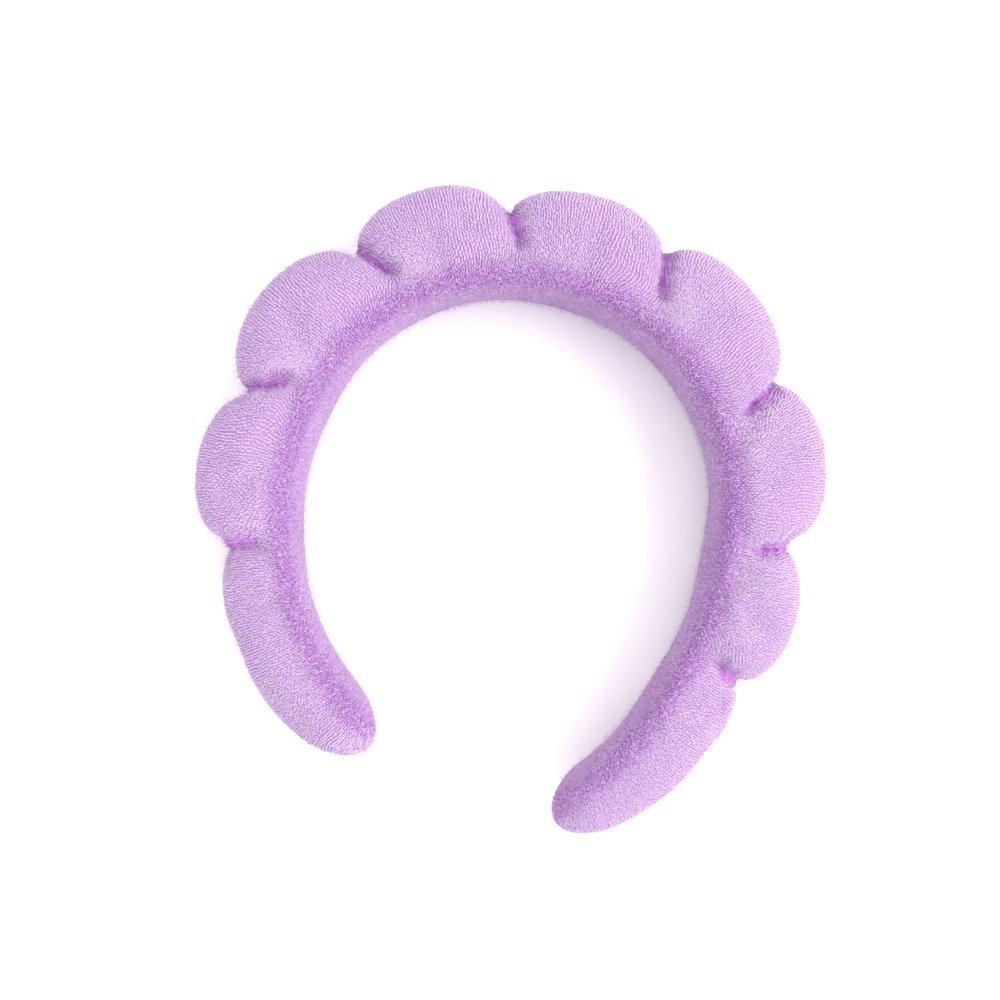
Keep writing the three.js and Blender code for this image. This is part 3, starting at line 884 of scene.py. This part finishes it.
def loop_arch(tree, given):
    """One loop of yarn: an arch."""
    half = math_node(tree, "MULTIPLY", given["Loop length"], 0.5)
    feet = [math_node(tree, "MULTIPLY", half, side) for side in (-1.0, 1.0)]
    start, end = (vector(tree, x=x, z=LOOP_FOOT) for x in feet)
    peak = vector(tree, z=math_node(tree, "MULTIPLY", given["Loop height"], 1.75))
    yarn = strand(tree, start, peak, end, given["Yarn"])
    position = tree.nodes.new("GeometryNodeInputPosition").outputs[0]
    place_on_loop = shader_node(tree, "ShaderNodeSeparateXYZ", {0: position})
    share = math_node(tree, "DIVIDE", place_on_loop.outputs[2], given["Loop height"])
    return store(tree, yarn, "height", share)


def wandering(tree, u, v, given):
    """Moves the rows slowly to and fro by up to a row, but not where two pieces meet."""
    coarse = vector(tree, math_node(tree, "MULTIPLY", u, 26.0), math_node(tree, "MULTIPLY", v, 7.0))
    noise = shader_node(tree, "ShaderNodeTexNoise", {"Vector": coarse, "Scale": 1.0, "Detail": 1.0})
    from_first = math_node(tree, "SUBTRACT", u, given["First row"])
    from_last = math_node(tree, "SUBTRACT", given["Last row"], u)
    near = math_node(tree, "MULTIPLY", math_node(tree, "MINIMUM", from_first, from_last), 60.0)
    free = math_node(tree, "MINIMUM", near, 1.0)
    shift = math_node(tree, "MULTIPLY", math_node(tree, "SUBTRACT", noise.outputs["Fac"], 0.5), 0.0095)
    return math_node(tree, "MULTIPLY_ADD", shift, free, u)


def loops_tree():
    """Loops of yarn in brick rows on a sheet of towelling."""
    tree, given = new_tree(
        "towelling_loops",
        {
            "First row": 0.0,
            "Last row": 1.0,
            "Rows": 50,
            "Loops": 104,
            "Loop length": 0.0011,
            "Loop height": 0.00065,
            "Yarn": 0.00029,
            "Seed": 5,
        },
    )
    sheet = given["Geometry"]
    grid = shader_node(
        tree,
        "GeometryNodeMeshGrid",
        {"Size X": 1.0, "Size Y": 1.0, "Vertices X": given["Rows"], "Vertices Y": given["Loops"]},
    )
    flat_place = tree.nodes.new("GeometryNodeInputPosition").outputs[0]
    flat = shader_node(tree, "ShaderNodeSeparateXYZ", {0: flat_place})
    row_share = math_node(tree, "ADD", flat.outputs[0], 0.5)
    loop_share = math_node(tree, "ADD", flat.outputs[1], 0.5)
    last_row = math_node(tree, "SUBTRACT", given["Rows"], 1)
    row = math_node(tree, "ROUND", math_node(tree, "MULTIPLY", row_share, last_row))
    brick = math_node(tree, "MULTIPLY", math_node(tree, "MODULO", row, 2.0), 0.5)
    column = math_node(tree, "MULTIPLY", loop_share, math_node(tree, "SUBTRACT", given["Loops"], 1))
    column = math_node(tree, "ADD", column, brick)
    column = math_node(tree, "ADD", column, random_float(tree, -0.22, 0.22, given["Seed"]))
    column = math_node(tree, "ADD", column, 0.3)
    v = math_node(tree, "FRACT", math_node(tree, "DIVIDE", column, given["Loops"]))
    next_seed = math_node(tree, "ADD", given["Seed"], 1)
    row = math_node(tree, "ADD", row, random_float(tree, -0.2, 0.2, next_seed))
    share = math_node(tree, "DIVIDE", math_node(tree, "ADD", row, 0.5), given["Rows"])
    reach = math_node(tree, "SUBTRACT", given["Last row"], given["First row"])
    u = math_node(tree, "MULTIPLY_ADD", share, reach, given["First row"])
    spot = vector(tree, wandering(tree, u, v, given), v)
    marked = store(tree, grid.outputs[0], "spot", spot, data_type="FLOAT_VECTOR")
    spot = stored(tree, "spot")
    position = tree.nodes.new("GeometryNodeInputPosition").outputs[0]
    on_cloth = {"Geometry": marked, "Position": sampled(tree, sheet, position, spot)}
    laid = shader_node(tree, "GeometryNodeSetPosition", on_cloth).outputs[0]
    room = sampled(tree, sheet, stored(tree, "room", "FLOAT"), spot, "FLOAT")
    wall = sampled(tree, sheet, stored(tree, "wall", "FLOAT"), spot, "FLOAT")
    for name in ("wall_shade", "fold"):
        value = sampled(tree, sheet, stored(tree, name, "FLOAT"), spot, "FLOAT")
        laid = store(tree, laid, name, value)
    kept = shader_node(tree, "FunctionNodeRandomValue", {6: room, 8: 7}, data_type="BOOLEAN")
    out, across = (sampled(tree, sheet, stored(tree, name), spot) for name in ("outside", "across"))
    axes = {"primary_axis": "Z", "secondary_axis": "X"}
    upright = shader_node(tree, "FunctionNodeAxesToRotation", {0: out, 1: across}, **axes).outputs[0]
    turn = math_node(tree, "MULTIPLY_ADD", wall, 1.0, 0.4)
    turn = math_node(tree, "MULTIPLY", random_float(tree, -1.0, 1.0, 21), turn)
    lean = vector(tree, random_float(tree, -0.45, 0.45, 22), random_float(tree, -0.2, 0.2, 23), turn)
    size = random_vector(tree, (0.85, 0.85, 0.7), (1.15, 1.2, 1.2), 24)
    arch = loop_arch(tree, given)
    loops = planted(tree, laid, arch, upright, lean, size, 25, Selection=kept.outputs[3])
    close_tree(tree, loops, loop_yarn)
    return tree


# %% Grow the loops on each piece
LOOP_SPACING = 1.06  # between two loops of a row, in millimetres


def cloth_sheet(piece):
    """The ground of one piece as an open sheet that the trees can sample."""
    points, quads, uv, _ = grid_mesh(piece["rows"], True)
    first, last = piece["rows"]
    picked = np.arange(AROUND + 1) % AROUND
    mesh = bpy.data.meshes.new("sheet_" + piece["name"])
    mesh.from_pydata([tuple(p) for p in points], [], [tuple(q) for q in quads])
    layer = mesh.uv_layers.new(name="UVMap")
    layer.data.foreach_set("uv", uv.astype(np.float32).ravel())
    add_attribute(mesh, "outside", "FLOAT_VECTOR", outside[first : last + 1][:, picked])
    add_attribute(mesh, "across", "FLOAT_VECTOR", upwards[first : last + 1][:, picked])
    add_attribute(mesh, "wall", "FLOAT", inner_wall[first : last + 1][:, picked])
    add_attribute(mesh, "wall_shade", "FLOAT", wall_shade[first : last + 1][:, picked])
    add_attribute(mesh, "fold", "FLOAT", fold[first : last + 1][:, picked])
    typical = np.median(row_girth[first : last + 1])
    room = np.clip(row_girth[first : last + 1] / typical * 1.15, 0, 1)
    add_attribute(mesh, "room", "FLOAT", np.repeat(room, AROUND + 1))
    return mesh


towelling_loops = loops_tree()
for number, piece in enumerate(PIECES):
    piece["sheet"] = cloth_sheet(piece)
    first, last = (row_surface[r] for r in piece["rows"])
    loops_round = round(float(np.median(row_girth[slice(*piece["rows"])])) / LOOP_SPACING)
    parts = {"": (first, last)}
    if "tip" in piece["name"]:  # the longest pieces carry their loops in two parts, so neither is too heavy
        parts = {"_start": (first, (first + last) / 2), "_end": ((first + last) / 2, last)}
    for half, (suffix, (start, end)) in enumerate(parts.items()):
        loops = grown(
            "loops_" + piece["name"] + suffix,
            towelling_loops,
            piece["sheet"],
            {
                "First row": (start / SURFACE_HALF + 1) / 2,
                "Last row": (end / SURFACE_HALF + 1) / 2,
                "Rows": round((end - start) / ROW_PITCH),
                "Loops": loops_round,
                "Seed": 5 + 10 * number + 5 * half,
            },
        )
        piece.setdefault("loops", []).append(loops)
print("loops:", sum(len(part.data.polygons) for p in PIECES for part in p["loops"]), "faces")

# %% [markdown]
# ## The stray fibres
# Cotton yarn is hairy, and the hairs catch the light as a pale halo along the band's outline. Real
# towelling has far too many to model, so some thirty thousand slender hairs stand for them, painted
# paler than the loops as a highlight, and the sheen in the yarn's finish does the rest. They grow at
# random places, lean every way and bend over.

# %% The fibres' tree
def fibres_tree():
    """Bent hairs at random places on a sheet of cloth."""
    tree, given = new_tree(
        "stray_fibres",
        {"Hairs in a square metre": 420000.0, "Hair length": 0.0020, "Hair": 0.00004, "Seed": 3},
    )
    spread = shader_node(
        tree,
        "GeometryNodeDistributePointsOnFaces",
        {"Mesh": given["Geometry"], "Density": given["Hairs in a square metre"], "Seed": given["Seed"]},
    )
    middle, far, high = (math_node(tree, "MULTIPLY", given["Hair length"], k) for k in (0.75, 0.55, 0.9))
    bent = strand(tree, (0, 0, 0), vector(tree, z=middle), vector(tree, far, z=high), given["Hair"])
    hair = store(tree, bent, "height", 1.0)
    lean = random_vector(tree, (-0.8, -0.8, -3.14), (0.8, 0.8, 3.14), 31)
    size = random_vector(tree, (0.6, 0.6, 0.6), (1.2, 1.2, 1.2), 32)
    hairs = planted(tree, spread.outputs["Points"], hair, spread.outputs["Rotation"], lean, size, 33)
    close_tree(tree, hairs, fibre_yarn)
    return tree


stray_fibres = fibres_tree()
for number, piece in enumerate(PIECES):
    piece["fibres"] = grown("fibres_" + piece["name"], stray_fibres, piece["sheet"], {"Seed": 3 + number})
print("fibres:", sum(len(p["fibres"].data.polygons) for p in PIECES), "faces")

# %% [markdown]
# ## The threads
# The gathering thread lies at the bottom of each crease: it comes out of the cloth on top, runs over
# the outer edge and goes back in underneath. It is twisted from three strands, which we sweep along the
# crease as three helices.

# %% A twisted thread along a path
THREAD = 0.4  # radius of the whole thread, in millimetres
STRANDS, STRAND_SIDES = 3, 5
TWIST_PITCH = 2.6


def swept(path, radius, sides):
    """Points and faces of a tube of that radius along a path, closed at its ends."""
    path = np.asarray(path, float)
    tangent = np.gradient(path, axis=0)
    tangent /= np.linalg.norm(tangent, axis=1, keepdims=True)
    side = np.cross(tangent[0], [0.3, 0.1, 0.9])
    points, faces = [], []
    for k, (here, way) in enumerate(zip(path, tangent)):
        side = side - way * np.dot(side, way)
        side /= np.linalg.norm(side)
        other = np.cross(way, side)
        angle = np.linspace(0, 2 * math.pi, sides + 1)[:-1]
        points += list(here + radius * (np.cos(angle)[:, None] * side + np.sin(angle)[:, None] * other))
        if k:
            low, high = (k - 1) * sides, k * sides
            for i in range(sides):
                on = (i + 1) % sides
                faces.append((low + i, low + on, high + on, high + i))
    faces += [tuple(range(sides))[::-1], tuple(range((len(path) - 1) * sides, len(path) * sides))]
    return points, faces


def thread_object(name, path):
    """A thread of three twisted strands along a path in metres."""
    path = np.asarray(path, float)
    length = np.concatenate([[0], np.cumsum(np.linalg.norm(np.diff(path, axis=0), axis=1))])
    fine = np.linspace(0, length[-1], max(12, int(length[-1] / (0.25 * MM))))
    centre = np.stack([np.interp(fine, length, path[:, k]) for k in range(3)], -1)
    tangent = np.gradient(centre, axis=0)
    tangent /= np.linalg.norm(tangent, axis=1, keepdims=True)
    side = np.cross(tangent, [0.31, 0.17, 0.93])
    side /= np.linalg.norm(side, axis=1, keepdims=True)
    other = np.cross(tangent, side)
    points, faces = [], []
    for strand in range(STRANDS):
        angle = 2 * math.pi * (fine / (TWIST_PITCH * MM) + strand / STRANDS)
        helix = centre + 0.5 * THREAD * MM * (np.cos(angle)[:, None] * side + np.sin(angle)[:, None] * other)
        more, tube = swept(helix, 0.52 * THREAD * MM, STRAND_SIDES)
        faces += [tuple(i + len(points) for i in face) for face in tube]
        points += more
    mesh = bpy.data.meshes.new(name)
    mesh.from_pydata([tuple(p) for p in points], [], faces)
    mesh.shade_smooth()
    add_attribute(mesh, "height", "FLOAT", np.full(len(points), 0.6))
    # painted crease shade on the thread, which lies at the bottom of a crease
    add_attribute(mesh, "fold", "FLOAT", np.full(len(points), 0.8))
    add_attribute(mesh, "tone", "FLOAT", np.repeat(np.linspace(0.2, 0.8, STRANDS), len(points) // STRANDS))
    mesh.materials.append(thread_yarn)
    obj = bpy.data.objects.new(name, mesh)
    bpy.context.scene.collection.objects.link(obj)
    return obj


# %% The gathering threads
def crease_path(gather):
    """The thread's path: through the stuffing, out at the top, over the outer edge, and in underneath."""
    row = int(np.argmin(np.abs(row_along - gather)))
    points = ground[row] + outside[row] * (0.25 * MM)
    depth = depth_in_band(ground)[row]
    order = np.argsort(points[:, 2])
    start = int(order[0])
    ring = np.roll(points, -start, axis=0)
    ring_depth = np.roll(depth, -start)
    keep = ring_depth > PINCH
    visible = ring[keep]
    if visible[0][2] < visible[-1][2]:
        visible = visible[::-1]
    inside = [place(gather, PINCH - 1, z) for z in (9.0, -9.0)]
    return np.array([inside[0], *visible, inside[1]])


for g, piece in enumerate(PIECES):
    piece["thread"] = thread_object("thread_" + piece["name"], crease_path(GATHERS[g]))
print("threads:", sum(len(p["thread"].data.polygons) for p in PIECES), "faces")

# %% [markdown]
# ## The closed tips
# Each end of the tube is turned in and drawn together with a few stitches. Small bars of thread cross
# the point where the folds meet.

# %% The closing stitches
def closing_bars(side):
    """Short bars of thread across a tip's point."""
    row = -1 if side > 0 else 0
    out = outside[row][0]
    near = ground[row - 3 if side > 0 else 3]
    bars = []
    for k in range(4):
        a = near[int(AROUND * k / 8)]
        b = near[int(AROUND * (k / 8 + 0.5))]
        share = np.linspace(0.1, 0.9, 14)[:, None]
        bow = np.sin(share * math.pi) * 1.1 * MM
        bars.append(a + (b - a) * share + out * (bow + 0.1 * k * MM))
    return bars


tip_stitches = {}
for side, body in ((-1, "left_tip"), (1, "right_tip")):
    parts = [thread_object(f"bar_{k}", bar) for k, bar in enumerate(closing_bars(side))]
    bpy.ops.object.select_all(action="DESELECT")
    for part in parts:
        part.select_set(True)
    bpy.context.view_layer.objects.active = parts[0]
    bpy.ops.object.join()
    parts[0].name = "tip_stitches_" + body
    tip_stitches[body] = parts[0]
print("tip stitches:", ", ".join(o.name for o in tip_stitches.values()))

# %% [markdown]
# ## The parts inside
# The hoop and its foam pad keep their engineered shapes: they are inside the towelling. They still get
# real finishes, for anyone who takes the cover off: a milky moulded plastic and an open-celled foam.

# %% The hoop's plastic and the pad's foam
def hoop_finish():
    """Translucent white polypropylene with faint flow marks from the mould."""
    material, tree, shader = new_finish("hoop_plastic", 0.35)
    shader.inputs["Subsurface Weight"].default_value = 0.2
    shader.inputs["Subsurface Radius"].default_value = (0.002, 0.002, 0.0018)
    object_place = shader_node(tree, "ShaderNodeTexCoord").outputs["Object"]
    flow = shader_node(
        tree, "ShaderNodeTexNoise", {"Vector": object_place, "Scale": 160, "Detail": 4, "Distortion": 0.6}
    )
    colour = ramp(tree, flow.outputs["Fac"], [(0.3, (0.74, 0.75, 0.74)), (0.7, (0.84, 0.84, 0.82))])
    rough = shader_node(
        tree, "ShaderNodeMapRange", {"Value": flow.outputs["Fac"], "To Min": 0.28, "To Max": 0.45}
    )
    bump = shader_node(
        tree, "ShaderNodeBump", {"Height": flow.outputs["Fac"], "Strength": 0.15, "Distance": 0.0002}
    )
    tree.links.new(colour, shader.inputs["Base Color"])
    tree.links.new(rough.outputs["Result"], shader.inputs["Roughness"])
    tree.links.new(bump.outputs["Normal"], shader.inputs["Normal"])
    return material


def foam_finish():
    """Open-celled polyurethane foam, pale cream, with cells about 0.7 mm across."""
    material, tree, shader = new_finish("padding_foam", 0.95, 0.2)
    object_place = shader_node(tree, "ShaderNodeTexCoord").outputs["Object"]
    cells = shader_node(tree, "ShaderNodeTexVoronoi", {"Vector": object_place, "Scale": 1400})
    # painted shade: the pits at the cells' middles, which the bump sets lowest, are darker
    colour = ramp(tree, cells.outputs["Distance"], [(0.1, (0.62, 0.58, 0.46)), (0.6, (0.84, 0.81, 0.70))])
    bump = shader_node(
        tree, "ShaderNodeBump", {"Height": cells.outputs["Distance"], "Strength": 0.7, "Distance": 0.0005}
    )
    tree.links.new(colour, shader.inputs["Base Color"])
    tree.links.new(bump.outputs["Normal"], shader.inputs["Normal"])
    return material


plastic, foam = hoop_finish(), foam_finish()
for name, node in frame["nodes"].items():
    finish = plastic if name.startswith("hoop_") else foam if name.startswith("pad_") else None
    if finish:
        node.data.materials.clear()
        node.data.materials.append(finish)
print("the frame's own parts that stay:", sum(n.startswith(("hoop_", "pad_")) for n in frame["nodes"]))

# %% [markdown]
# ## Hide the parts that the pieces replace
# The engineered cover, puffs and gather that each piece stands for are hidden, and the piece's towelling
# and thread keep their places. The tips' closing stitches are tied to the tips' bodies, and the
# engineered stitches are hidden.

# %% Hide what the pieces replace, and tie the tip stitches
for g, piece in enumerate(PIECES):
    first, last, start, end = piece["bend"]
    towelling = [piece["cover"], *piece["loops"], piece["fibres"]]
    for part in (*towelling, piece["thread"]):
        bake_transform(part)
    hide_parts(*(f"{kind}_{body}" for kind in ("cover", "puff") for body in (first, last)))
    gather_name = f"gather_left_{4 - g}" if g < 4 else f"gather_right_{g - 3}"
    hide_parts(gather_name)
for body, stitches in tip_stitches.items():
    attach(stitches, body)
    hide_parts("closing_stitch_" + body.split("_")[0])
